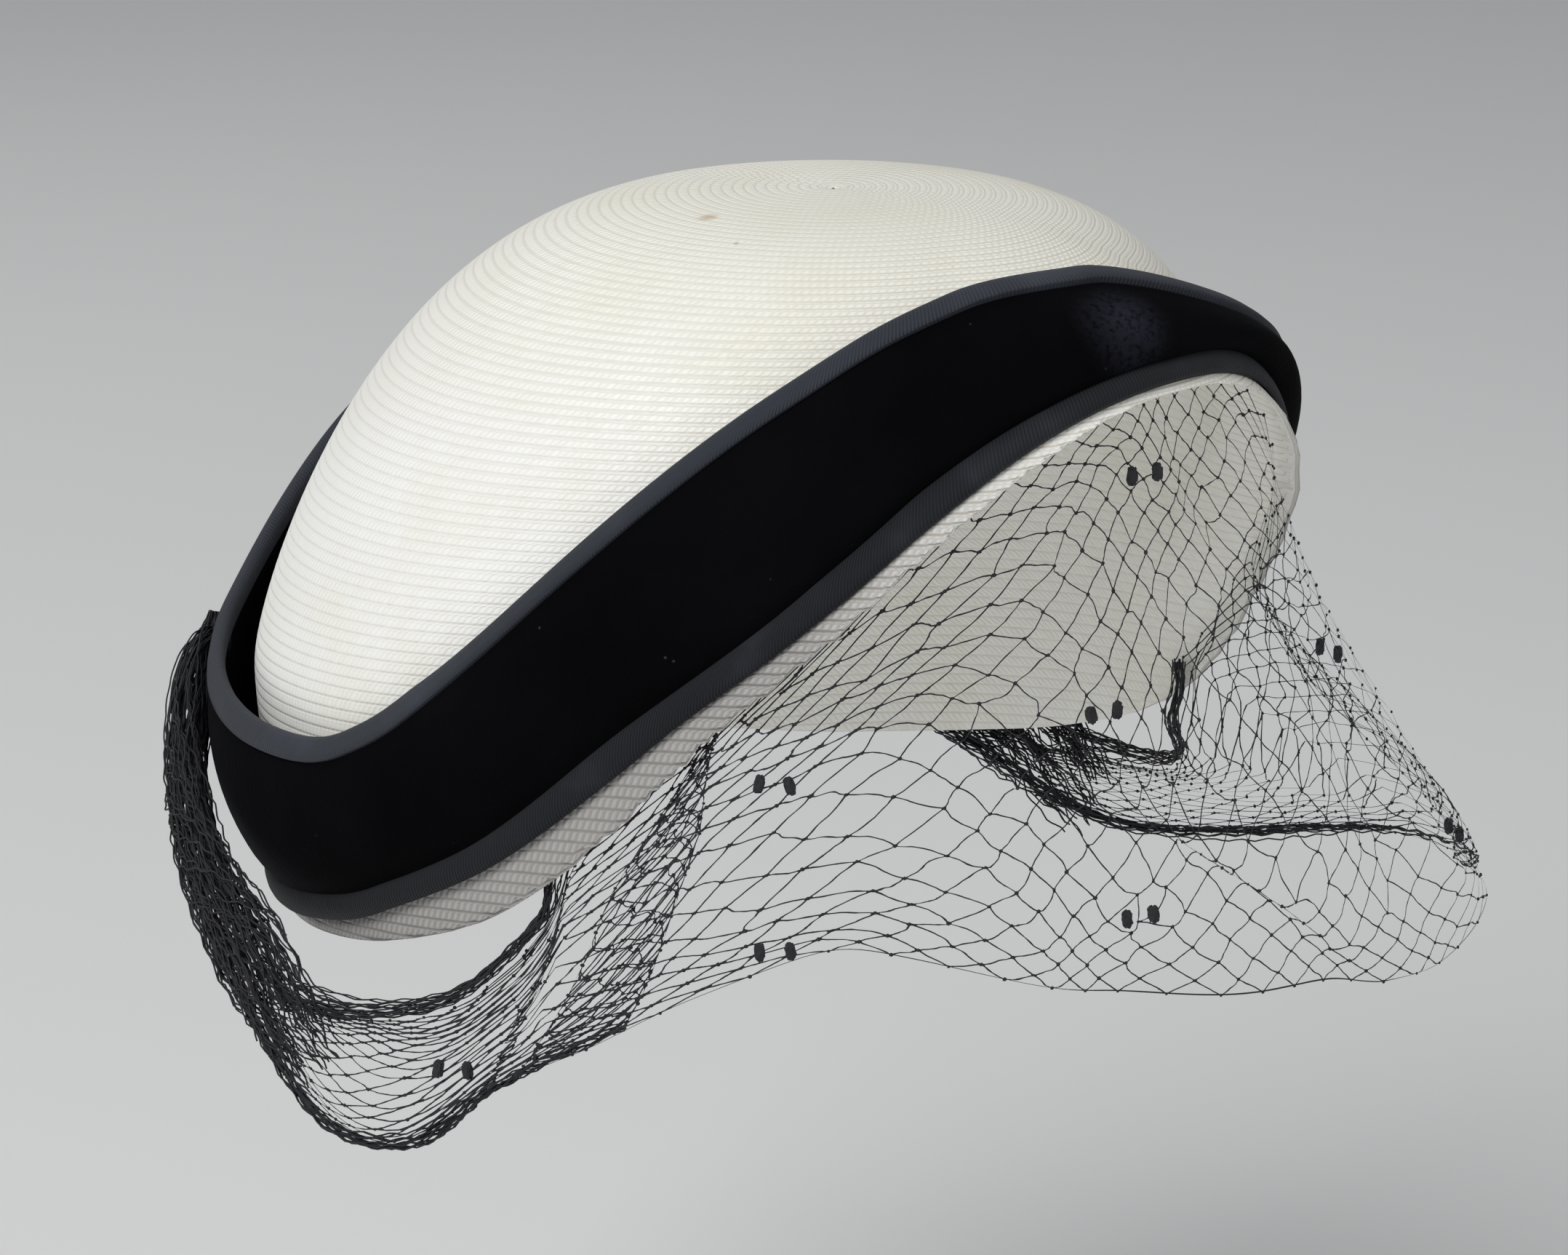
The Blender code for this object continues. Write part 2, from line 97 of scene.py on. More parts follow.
ROUND = [
    # angle from the front, straw edge, tape top, bare strip, stand of the cuff, flare of the edge
    (0, 57.5, 84.0, 2.4, 10.0, 12.0),
    (12, 54.5, 84.2, 2.8, 10.0, 13.0),
    (22, 46.6, 83.2, 3.6, 10.0, 14.0),
    (30, 34.4, 80.5, 3.5, 10.0, 14.0),
    (40, 10.7, 75.5, 4.7, 10.0, 13.0),
    (53, -12.3, 60.5, 5.8, 8.5, 9.0),
    (63, -26.9, 42.0, 8.0, 6.5, 5.0),
    (72, -36.0, 21.0, 8.5, 5.5, 2.0),
    (82, -41.0, 2.5, 7.5, 5.0, 0.5),
    (95, -44.5, -5.0, 4.5, 5.5, 0.0),
    (110, -46.0, -4.0, 2.5, 6.5, 0.0),
    (125, -46.0, -1.0, 1.5, 7.0, 0.0),
    (140, -43.0, 3.0, 1.5, 8.5, 0.0),
    (152, -37.0, 10.0, 2.0, 11.0, 0.0),
    (162, -30.0, 22.0, 3.0, 14.0, 0.0),
    (172, -24.0, 37.0, 4.0, 17.0, 0.0),
    (180, -22.0, 44.0, 4.0, 18.0, 0.0),
]


def column(number, spread=4.0):
    """One column of the table as a smooth function of the angle, alike on both sides."""
    rows = np.array(ROUND, float)
    turn = np.arange(-360.0, 361.0)
    folded = np.abs((turn + 180.0) % 360.0 - 180.0)
    values = np.interp(folded, rows[:, 0], rows[:, number])
    reach = np.arange(-15.0, 16.0)
    weights = np.exp(-0.5 * (reach / spread) ** 2)
    values = np.convolve(values, weights / weights.sum(), mode="same")
    return lambda angle: np.interp((np.asarray(angle) + 180.0) % 360.0 - 180.0, turn, values)


def on_left(angle, start, length, end):
    """0 up to start, 1 from there plus length, and 0 again at end, on the wearer's left."""
    turn = (np.asarray(angle) + 180.0) % 360.0 - 180.0
    rise = np.clip((turn - start) / length, 0.0, 1.0)
    fall = np.clip((end - turn) / 42.0, 0.0, 1.0)
    return rise**2 * (3.0 - 2.0 * rise) * fall**2 * (3.0 - 2.0 * fall)


even_edge = column(1)
even_top = column(2)
strip = column(3)
even_stand = column(4)
flare = column(5)


def edge_z(angle):
    """The slanting edge of the straw, a little higher on the wearer's left at the front."""
    return even_edge(angle) + LEFT_RISE * on_left(angle, -2.0, 24.0, 66.0)


def top_z(angle):
    """The top of the upper tape, which dips sooner on the wearer's left."""
    return even_top(angle) - LEFT_DROP * on_left(angle, -4.0, 56.0, 92.0)


def stand(angle):
    """How far the cuff stands from the crown at its top."""
    return even_stand(angle) + LEFT_STAND * on_left(angle, 10.0, 30.0, 92.0)


def slant(height, angle):
    """How much longer a step straight up is than one square to a slanting edge."""
    rise = (height(np.asarray(angle) + 2.0) - height(np.asarray(angle) - 2.0)) / 4.0
    arc = math.radians(1.0) * MEAN_RADIUS
    return np.minimum(np.sqrt(1.0 + (rise / arc) ** 2), 1.6)


def tape_height(angle):
    """The lower tape's height, which is less at the front, where it lies on the dome's round."""
    turn = (np.asarray(angle) + 180.0) % 360.0 - 180.0
    return LOWER_TAPE_HEIGHT - FRONT_TAPE_LESS * np.exp(-(turn / 28.0) ** 2)


def signed_power(value, power):
    """A power that keeps the sign of its value."""
    return np.sign(value) * np.abs(value) ** power


def lean_back(points):
    """From the plane of the braid rows to the pose in which the hat is worn."""
    x, y, z = np.moveaxis(np.asarray(points, float), -1, 0)
    c, s = math.cos(BACK_LEAN), math.sin(BACK_LEAN)
    return np.stack([x, y * c + z * s, z * c - y * s], -1)


def crown(angle, z, out=0.0):
    """A point on the crown at an angle from the front and a height, moved out sideways."""
    turn = np.radians(angle)
    up = np.clip(z / DOME_HEIGHT, 0.0, 0.99999)
    size = (1.0 - up**HEIGHT_POWER) ** (1.0 / ROUND_POWER)
    below = np.clip(-z, 0.0, None)
    size = size - 0.012 * (below / 50.0) ** 2
    out = out + flare(angle) * np.clip(1.0 - (z - edge_z(angle)) / 35.0, 0.0, 1.0) ** 1.5
    ahead = (z + np.hypot(z, 5.0)) / 2 / DOME_HEIGHT
    x = (HALF_WIDTH * size + out) * signed_power(np.sin(turn), 2.0 / OVAL_POWER)
    y = -(HALF_LENGTH * size + out) * signed_power(np.cos(turn), 2.0 / OVAL_POWER)
    y = y - TIP_FORWARD * ahead
    return np.stack(np.broadcast_arrays(x, y, z + TIP_TILT * y * ahead), -1)


# How many rows of braid lie between the tip and each height
heights = DOME_HEIGHT * np.cos(np.linspace(0.0, math.pi / 2, 900)) ** (2.0 / HEIGHT_POWER)
heights = np.concatenate([heights, np.arange(-0.25, -60.0, -0.25)])
up = np.clip(heights / DOME_HEIGHT, 0.0, 1.0)
radii = MEAN_RADIUS * (1.0 - up**HEIGHT_POWER) ** (1.0 / ROUND_POWER)
run = np.concatenate([[0.0], np.cumsum(np.hypot(np.diff(heights), np.diff(radii)))]) / BRAID_PITCH


def height_of_row(row):
    return np.interp(row, run, heights)


def row_of_height(z):
    return np.interp(-np.asarray(z), -heights, run)


def cloth(places, flat, joined=True, **marks):
    """A bmesh grid whose corners go to an array of places, with its UV map from another array.

    The marks are numbers for its corners, which the materials read by their names.
    """
    rows, columns = places.shape[:2]
    bm = bmesh.new()
    bmesh.ops.create_grid(bm, x_segments=columns - 1, y_segments=rows - 1, size=1.0)
    uv = bm.loops.layers.uv.new("UVMap")
    layers = {name: bm.verts.layers.float.new(name) for name in marks}
    for vert in bm.verts:
        i = round((vert.co.y + 1.0) / 2.0 * (rows - 1))
        j = round((vert.co.x + 1.0) / 2.0 * (columns - 1))
        vert.co = [c * MM for c in places[i, j]]
        for loop in vert.link_loops:
            loop[uv].uv = flat[i, j]
        for name, layer in layers.items():
            vert[layer] = marks[name][i, j]
    if joined:
        bmesh.ops.remove_doubles(bm, verts=bm.verts[:], dist=0.00002)
    return bm


def finished(name, bm, material, smooth=True, turned=True):
    """The bmesh as a piece of the hat, on the body that all its pieces share."""
    if turned:
        bmesh.ops.recalc_face_normals(bm, faces=bm.faces[:])
    for face in bm.faces:
        face.smooth = smooth
    mesh = bpy.data.meshes.new(name)
    bm.to_mesh(mesh)
    bm.free()
    mesh.materials.append(material)
    piece = bpy.data.objects.new(name, mesh)
    bpy.context.scene.collection.objects.link(piece)
    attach(piece, "root")
    return piece


def ring_lengths(places):
    """How far each point of a grid lies along its own row, in millimetres."""
    steps = np.linalg.norm(np.diff(places, axis=1), axis=2)
    return np.concatenate([np.zeros((len(places), 1)), np.cumsum(steps, 1)], 1)


def straw_places(angles, rows, relief, out):
    """Places on the crown for rows of the spiral, cut off at the slanting edge.

    With each place goes its row, and 1 where it lies below the lower tape at the sides, where the
    cuff's shadow is painted on the straw.
    """
    turn, row = np.meshgrid(angles, rows)
    row = row + (turn + 180.0) / 360.0
    z = height_of_row(np.clip(row, 0.0, None))
    steep = np.clip((slant(edge_z, turn) - 1.0) * 2.5, 0.0, 1.0)
    at_edge = row_of_height(edge_z(turn)) + (turn + 180.0) / 360.0
    cut = edge_z(turn) + 1.5 * steep * (at_edge % 1.0 - 0.5)
    lift = relief * np.clip(row / 2.0, 0.0, 1.0) * (z > cut)
    z = np.maximum(z, cut)
    points = crown(turn, z, out)
    tip = crown(0.0, DOME_HEIGHT)
    tip[1] = -TIP_FORWARD
    points = tip + (points - tip) * np.clip(row / TIP_ROWS, 0.0, 1.0)[..., None]
    middle = crown(turn, z, out + 1.0) - crown(turn, z, out)
    middle = middle / np.linalg.norm(middle, axis=-1, keepdims=True)
    dome = np.clip(z / DOME_HEIGHT, 0.0, 1.0)[..., None] ** 3
    outward = middle * (1.0 - dome) + np.array([0.0, 0.0, 1.0]) * dome
    outward /= np.linalg.norm(outward, axis=-1, keepdims=True)
    tape_middle = edge_z(turn) + (strip(turn) + tape_height(turn) / 2) * slant(edge_z, turn)
    at_side = np.clip((np.abs(turn) - 15.0) / 25.0, 0.0, 1.0)
    below_tape = np.clip((tape_middle - z) / 2.0, 0.0, 1.0) * at_side
    return lean_back(points + outward * lift[..., None]), row, below_tape


class Shade:
    """A socket of a material. Sums on it are written as sums, and become its nodes."""

    def __init__(self, tree, socket):
        self.tree = tree
        self.socket = socket

    def node(self, kind, values=(), output=0, **settings):
        """Another node: its settings first, then the values or links of its sockets."""
        made = self.tree.nodes.new("ShaderNode" + kind)
        for name, value in settings.items():
            setattr(made, name, value)
        pairs = values.items() if isinstance(values, dict) else enumerate(values)
        for key, value in pairs:
            if isinstance(value, Shade):
                self.tree.links.new(value.socket, made.inputs[key])
            else:
                made.inputs[key].default_value = value
        return Shade(self.tree, made.outputs[output])

    def maths(self, operation, *others):
        return self.node("Math", (self, *others), operation=operation)

    def __add__(self, other):
        return self.maths("ADD", other)

    __radd__ = __add__

    def __sub__(self, other):
        return self.maths("SUBTRACT", other)

    def __rsub__(self, other):
        return self.node("Math", (other, self), operation="SUBTRACT")

    def __mul__(self, other):
        return self.maths("MULTIPLY", other)

    __rmul__ = __mul__

    def __abs__(self):
        return self.maths("ABSOLUTE")

    def fraction(self):
        return self.maths("FRACT")

    def sine(self):
        return self.maths("SINE")

    def between(self, low, high):
        """0 below low, 1 above high, and smooth between them."""
        ends = {0: self, 1: low, 2: high, 3: 0.0, 4: 1.0}
        return self.node("MapRange", ends, interpolation_type="SMOOTHSTEP")

    def blend(self, first, second):
        """The colour first where this is 0, and second where it is 1."""
        first = first if isinstance(first, Shade) else (*first, 1.0)
        second = second if isinstance(second, Shade) else (*second, 1.0)
        return self.node("Mix", {0: self, 6: first, 7: second}, output=2, data_type="RGBA")


def new_finish(name, **plain):
    """A material with a Principled shader, its even values set on the shader's own sockets."""
    material = bpy.data.materials.new(name)
    material.use_nodes = True
    shader = material.node_tree.nodes["Principled BSDF"]
    for key, value in plain.items():
        shader.inputs[key.replace("_", " ")].default_value = value
    start = Shade(material.node_tree, None)
    return material, shader, start


def joined_to(shader, **links):
    """Link sums to the sockets of a shader."""
    for key, value in links.items():
        value.tree.links.new(value.socket, shader.inputs[key.replace("_", " ")])


straw, shader, start = new_finish("straw", IOR=1.5, Specular_IOR_Level=0.45)
place = start.node("TexCoord", output=3)
flat = start.node("UVMap", uv_map="UVMap")
along = start.node("SeparateXYZ", [flat], output=0)
row = start.node("SeparateXYZ", [flat], output=1)
across_row = row.fraction()
stitch = along * (1.0 / STITCH_LENGTH) + across_row * 0.6
cell = start.node("CombineXYZ", [stitch.maths("FLOOR"), row.maths("FLOOR"), 0.0])
straw_tone = start.node("TexWhiteNoise", [cell], noise_dimensions="3D")
uneven = start.node("TexNoise", {0: flat, 2: 0.9, 3: 2.0, 4: 0.5})
ridge = across_row.between(0.0, 0.22) * (1.0 - across_row.between(0.80, 1.0))
bead = (1.0 - abs(stitch.fraction() * 2.0 - 1.0)).between(0.0, 0.8)
plaited = ridge * (bead * 0.6 + 0.4)
# Painted shade: below the lower tape at the sides, the straw, its thread and the gaps between
# straws are darkened for the cuff's shadow. The same mark also deepens the bump there
dull = start.node("Attribute", attribute_name="dull", output=2)
cloud = start.node("TexNoise", {0: place, 2: 26.0, 3: 3.0, 4: 0.55})
high_up = start.node("SeparateXYZ", [place], output=2)
frontal = 1.0 - start.node("SeparateXYZ", [place], output=1).between(-0.085, -0.050)
# Cream tone: the random patches are the straw's own yellowing, and the share that grows towards the
# top is painted shade on the dome
yellowing_and_top_shade = high_up.between(0.040, 0.092) * 0.45 + cloud.between(0.45, 0.75) * 0.35
colour = (dull * 0.92).blend(yellowing_and_top_shade.blend(STRAW_WHITE, STRAW_CREAM), STRAW_IN_SHADE)
thread = dull.blend(STRAW_THREAD, THREAD_IN_SHADE)
between_straws = 0.06 + uneven * 0.14 + high_up.between(0.03, 0.08) * 0.14 + dull * 0.40
gaps = (1.0 - plaited) * between_straws
# Painted shade in the grooves between the braid rows, much stronger at the front of the crown
groove_shade = (1.0 - ridge.between(0.0, 0.5)) * (0.02 + frontal * 0.30)
colour = (gaps + groove_shade + straw_tone * 0.06).blend(colour, thread)
for spot, reach, tone in STAINS:
    away = start.node("VectorMath", [place, spot], output=1, operation="DISTANCE")
    stain = (1.0 - (away + cloud * 0.001).between(reach * 0.5, reach * 1.8)) * 0.55
    colour = stain.blend(colour, tone)
relief = plaited * (straw_tone * 0.4 + 0.8) * (dull * 2.0 + 1.0)
bump = start.node("Bump", {"Strength": 0.40, "Distance": 0.0004, "Height": relief})
joined_to(shader, Base_Color=colour, Normal=bump, Roughness=straw_tone * 0.18 + 0.42)

# The grid's columns lie closest in front, where the edge cuts the rows at a steep angle
side, front, other_side = (-180.0, -60.0, 58), (-60.0, 24.0, 121), (24.0, 180.0, 74)
angles = np.unique(np.concatenate([np.linspace(*part) for part in (side, front, other_side)]))
whole = np.arange(-1.0, math.ceil(row_of_height(LOWEST_EDGE) + 1.0))
outer_rows = (whole[:, None] + np.array([0.03, 0.2, 0.86])).ravel()
relief_of = np.tile([0.0, BRAID_RELIEF, BRAID_RELIEF * 1.1], len(whole))[:, None]
outside, count, below_tape = straw_places(angles, outer_rows, relief_of, 0.0)
along_row = np.repeat(ring_lengths(outside)[1::3], 3, axis=0)
inner_rows = whole[::-1] + 0.1
no_relief = np.zeros((len(inner_rows), 1))
inside, inner_count, _ = straw_places(angles, inner_rows, no_relief, -STRAW_WALL)
flat = np.stack([np.vstack([along_row, ring_lengths(inside)]), np.vstack([count, inner_count])], -1)
# Mark for the painted shade under the cuff, on the outside of the straw only
dull_places = np.vstack([below_tape, np.zeros_like(inner_count)])
bm = cloth(np.vstack([outside, inside]), flat, dull=dull_places)
straw_braid = finished("straw_braid_crown", bm, straw)
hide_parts("straw_crown")


# Velvet cuff.
# A band of black silk velvet over stiff net, turned up round the crown and padded a little, so
# that it is full between its two tapes. Its pile is crushed in one place and holds some lint.
UPPER_TAPE_HEIGHT = 5.0
SEAM_GAP = 0.3
VELVET_WALL = 2.0
CUFF_BULGE = 4.5
CRUSHED_SPOT = (-0.0045, -0.1040, 0.0745)


def cuff(angle, part, out):
    """The cuff's outer face from its lower edge behind the tape, part 0, to its top, part 1."""
    low = edge_z(angle) + (strip(angle) + 0.75 * tape_height(angle)) * slant(edge_z, angle)
    high = top_z(angle) - UPPER_TAPE_HEIGHT * slant(top_z, angle) - SEAM_GAP
    lift = 1.2 + 1.4 * np.clip((part + 0.02) / 0.14, 0.0, 1.0)
    lift = lift + (stand(angle) - 1.0) * np.clip(part, 0.0, 2.0) ** 1.3
    lift = lift + CUFF_BULGE * 4.0 * np.clip(part * (1.0 - part), 0.0, None)
    return crown(angle, low + (high - low) * part, lift + out)


velvet, shader, start = new_finish(
    "velvet", Roughness=0.95, Specular_IOR_Level=0.04, Sheen_Weight=0.035, Sheen_Roughness=0.3)
shader.inputs["Sheen Tint"].default_value = (0.30, 0.31, 0.36, 1.0)
place = start.node("TexCoord", output=3)
nap = start.node("TexNoise", {0: place, 2: 900.0, 3: 2.0, 4: 0.6})
shading = start.node("TexNoise", {0: place, 2: 22.0, 3: 3.0, 4: 0.6})
lit = shading.between(0.35, 0.75) * 0.6 + nap * 0.2
colour = lit.blend((0.0010, 0.0010, 0.0013), (0.0035, 0.0035, 0.0048))
away = start.node("VectorMath", [place, CRUSHED_SPOT], output=1, operation="DISTANCE")
crushed = (1.0 - (away + shading * 0.010).between(0.006, 0.017)) * nap.between(0.2, 0.6)
colour = (crushed * 0.8).blend(colour, (0.024, 0.025, 0.037))
lint = start.node("TexVoronoi", {0: place, 2: 240.0}, feature="F1")
scarce = start.node("TexNoise", {0: place, 2: 60.0, 3: 2.0})
speck = (1.0 - lint.between(0.03, 0.09)) * scarce.between(0.56, 0.66)
colour = (speck * 0.35).blend(colour, (0.11, 0.11, 0.12))
velvet_bump = start.node("Bump", {"Strength": 0.35, "Distance": 0.0004, "Height": nap + speck})
joined_to(shader, Base_Color=colour, Normal=velvet_bump)

angles = np.linspace(-180.0, 180.0, 241)
outer_face, inner_face = np.linspace(0.0, 1.0, 20), np.linspace(1.0, -0.05, 14)
up_and_over = np.concatenate([[-0.05, -0.03], outer_face, [1.02, 1.02], inner_face])
inward = np.concatenate([[-1.2, -0.3], np.zeros(20), [-0.4, -1.6], np.full(14, -VELVET_WALL)])
turn, part = np.meshgrid(angles, np.append(up_and_over, -0.05))
inward = np.append(inward, -1.2)[:, None]
full = np.sin(math.pi * np.clip(part, 0.0, 1.0))
dent = 0.35 * np.sin(np.radians(turn) * 7 + 3 * part) * full
dent = dent + 0.2 * np.sin(np.radians(turn) * 17 + 5 * part) * full
folded = lean_back(cuff(turn, part, inward + dent))
depth = np.broadcast_to(np.cumsum(np.full(len(part), 2.0))[:, None], part.shape)
bm = cloth(folded, np.stack([ring_lengths(folded), depth], -1))
velvet_band = finished("velvet_cuff_band", bm, velvet)
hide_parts("velvet_cuff")


# Tapes.
# Blue-black ribbed tape: one folded over the cuff's top edge and a little faded, the other laid
# over the straw and sewn flat under the cuff. The ribs run across it, 0.74 mm apart.
UPPER_TAPE_THICK = 3.2
LOWER_TAPE_THICK = 1.6
TAPE_RIB = 0.74

ribbon, shader, start = new_finish(
    "ribbon", Roughness=0.72, Specular_IOR_Level=0.25, Sheen_Weight=0.03)
place = start.node("TexCoord", output=3)
flat = start.node("UVMap", uv_map="UVMap")
along = start.node("SeparateXYZ", [flat], output=0)
rib = (along * (2 * math.pi / TAPE_RIB)).sine() * 0.5 + 0.5
worn = start.node("TexNoise", {0: place, 2: 45.0, 3: 3.0, 4: 0.6})
colour = (rib * 0.7 + worn * 0.3).blend((0.0025, 0.0030, 0.0045), (0.012, 0.014, 0.019))
faded = start.node("Attribute", attribute_name="faded", output=2)
colour = (faded * 0.48 + worn.between(0.5, 0.8) * 0.25).blend(colour, (0.050, 0.058, 0.074))
bump = start.node("Bump", {"Strength": 0.6, "Distance": 0.00025, "Height": rib})
joined_to(shader, Base_Color=colour, Normal=bump)


def upper_edge(angle, rise):
    """The cuff's top edge carried on upwards, for the tape that covers it."""
    top = lean_back(cuff(angle, 1.0, -VELVET_WALL / 2))
    slope = top - lean_back(cuff(angle, 0.94, -VELVET_WALL / 2))
    slope /= np.linalg.norm(slope, axis=-1, keepdims=True)
    tall = UPPER_TAPE_HEIGHT * slant(top_z, angle)[:, None]
    return top + slope * (SEAM_GAP + tall * rise)


def lower_edge(angle, rise):
    """The middle of the lower tape, which lies on the straw under the cuff."""
    height = edge_z(angle) + (strip(angle) + tape_height(angle) * rise) * slant(edge_z, angle)
    return lean_back(crown(angle, height, 0.95 + LOWER_TAPE_THICK / 2))


def tape(name, place_of, thick, section, faded):
    """A tape round the hat, its section carried round the edge that it covers."""
    angles = np.linspace(-180.0, 180.0, 361)
    foot, head = place_of(angles, 0.0), place_of(angles, 1.0)
    ahead = np.gradient(foot, axis=0)
    ahead[0] = ahead[-1] = foot[1] - foot[-2]
    side = np.cross(ahead, head - foot)
    side /= np.linalg.norm(side, axis=1, keepdims=True)
    closed = section + section[:1]
    rings = np.array([foot + (head - foot) * up + side * (out * thick / 2) for up, out in closed])
    half_way = len(section) // 2
    middle = ring_lengths(rings[:1] * 0.5 + rings[half_way:half_way + 1] * 0.5)
    around = np.cumsum(np.full(len(rings), 1.0))[:, None] * np.ones(len(angles))
    flat = np.stack([np.broadcast_to(middle, around.shape), around], -1)
    return finished(name, cloth(rings, flat, faded=np.full(around.shape, faded)), ribbon)


# Sections of the tapes: how far up the tape, and how far out as a part of half its thickness
folded_over = [
    (0.02, -1.0), (0.0, -0.75), (0.0, 0.75), (0.02, 1.0), (0.3, 1.08), (0.6, 1.04), (0.82, 0.86),
    (0.95, 0.5), (1.0, 0.0), (0.95, -0.5), (0.82, -0.86), (0.6, -1.04), (0.3, -1.08),
]
laid_flat = [
    (0.0, -1.0), (0.0, 0.1), (0.03, 0.6), (0.12, 1.15), (0.28, 1.6), (0.48, 1.78), (0.68, 1.6),
    (0.86, 1.1), (0.97, 0.4), (1.0, -0.3), (1.0, -1.0),
]
upper_tape = tape("upper_tape", upper_edge, UPPER_TAPE_THICK, folded_over, 1.0)
lower_tape = tape("lower_tape", lower_edge, LOWER_TAPE_THICK, laid_flat, 0.0)
for piece, node in ((upper_tape, "upper_binding"), (lower_tape, "lower_binding")):
    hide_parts(node)


# Veil.
# One strip of black knotted net with diamonds of about 10 by 8 mm. Its top edge is caught inside
# the straw edge at the front, its lower edge is free, and it is drawn together at the sides.
NET_HELD = 64.0
DIAMONDS_ALONG = 50
DIAMONDS_DOWN = 15
CORNERS = 6
THREAD = 0.24
SLACK = 0.08
CURL = 0.5
FOLDS = [
    # angle at the top edge, its change down to the lower edge, width, depth
    (-46.0, -13.0, 13.5, 23.5),
    (-62.0, -8.0, 5.0, 7.0),
    (46.0, 9.0, 9.0, 14.0),
]
NET_EDGE = [
    # angle, low_z, low_out
    (-98, -66.0, 13.0),
    (-90, -77.0, 12.0),
    (-83, -79.5, 12.0),
    (-76, -73.0, 12.0),
    (-68, -58.0, 12.0),
    (-60, -51.0, 12.0),
    (-51, -40.0, 12.0),
    (-42, -33.0, 12.0),
    (-35, -28.5, 12.5),
    (-28, -31.5, 14.0),
    (-18, -37.0, 19.0),
    (-5, -42.5, 25.0),
    (6, -47.0, 30.0),
    (16, -52.0, 36.0),
    (32, -56.0, 47.0),
    (50, -58.0, 56.0),
    (66, -62.0, 52.0),
    (80, -72.0, 40.0),
    (90, -75.0, 26.0),
    (98, -66.0, 13.0),
]
TOP_ROLL = [
    # angle, z, out, wide, deep
    (-70.5, -40.5, 6.0, 2.4, 2.4),
    (-73.6, -45.0, 9.0, 2.6, 2.6),
    (-78.0, -48.4, 11.0, 3.2, 2.8),
    (-84.5, -51.0, 12.0, 4.6, 2.6),
    (-91.0, -52.0, 12.5, 6.5, 2.4),
    (-97.0, -53.0, 12.6, 8.0, 2.2),
]


def oval(angle, z, out):
    """A point round the head, upright as the net hangs."""
    turn = np.radians(angle)
    x = (HALF_WIDTH + out) * np.sin(turn)
    y = -(HALF_LENGTH + out) * np.cos(turn)
    return np.stack(np.broadcast_arrays(x, y, np.asarray(z, float)), -1)


def smooth_table(table, keys, spread=2.5):
    """Every column of a table against its first, rounded off, at the asked keys."""
    rows = np.array(table, float)
    fine = np.linspace(rows[0, 0] - 12, rows[-1, 0] + 12, 600)
    reach = np.arange(-40, 41) * (fine[1] - fine[0])
    weights = np.exp(-0.5 * (reach / spread) ** 2)
    weights /= weights.sum()
    columns = []
    for k in range(1, rows.shape[1]):
        values = np.interp(fine, rows[:, 0], rows[:, k])
        values = np.convolve(np.pad(values, 40, mode="edge"), weights, mode="valid")
        columns.append(np.interp(keys, fine, values))
    return columns


def curve_through(points, count):
    """Evenly spaced points on a smooth curve through a few points."""
    pts = np.array(points, float)
    pad = np.vstack([2 * pts[0] - pts[1], pts, 2 * pts[-1] - pts[-2]])
    fine = []
    for a, b, c, d in zip(pad, pad[1:], pad[2:], pad[3:]):
        for t in np.linspace(0.0, 1.0, 12, endpoint=False):
            fine.append(0.5 * (2 * b + (c - a) * t + (2 * a - 5 * b + 4 * c - d) * t**2
                               + (3 * b - a - 3 * c + d) * t**3))
    fine = np.array(fine + [pts[-1]])
    steps = np.linalg.norm(np.diff(fine[:, :3], axis=0), axis=1)
    travelled = np.concatenate([[0.0], np.cumsum(steps)])
    want = np.linspace(0.0, travelled[-1], count)
    return np.stack([np.interp(want, travelled, fine[:, k]) for k in range(fine.shape[1])], -1)


def top_roll_path(count):
    """Centre points and sizes of the rolled top edge, from inside the straw to the bundle."""
    begin = []
    for angle, above in ((-65.0, 4.0), (-66.0, -1.0), (-67.8, -5.5)):
        x, y, z = lean_back(crown(angle, edge_z(angle) + above, -3.6))
        begin.append((x, y, z, 2.8, 2.8))
    for angle, z, out, wide, deep in TOP_ROLL:
        begin.append((*oval(angle, z, out), wide, deep))
    return curve_through(begin, count)


def net_top(across):
    """The net's upper edge: inside the straw at the front, along its own roll at the sides."""
    across = np.asarray(across, float)
    inward = 3.4 + np.clip((np.abs(across) - 52.0) / 8.0, 0.0, 1.0)
    held = lean_back(crown(across, edge_z(across) + 3.0, -inward))
    roll = curve_through(top_roll_path(40)[6:, :3] - np.array([0.0, 0.0, 2.4]), 60)
    along_roll = np.clip((np.abs(across) - NET_HELD) / (98.0 - NET_HELD), 0.0, 1.0) * 59
    loose = np.stack([np.interp(along_roll, np.arange(60), roll[:, k]) for k in range(3)], -1)
    loose[..., 0] *= np.where(across > 0, -1.0, 1.0)
    mix = np.clip((np.abs(across) - NET_HELD) / 3.0, 0.0, 1.0)[..., None]
    mix = np.concatenate([mix**2, mix**2, mix**0.6], -1)
    return held * (1 - mix) + loose * mix


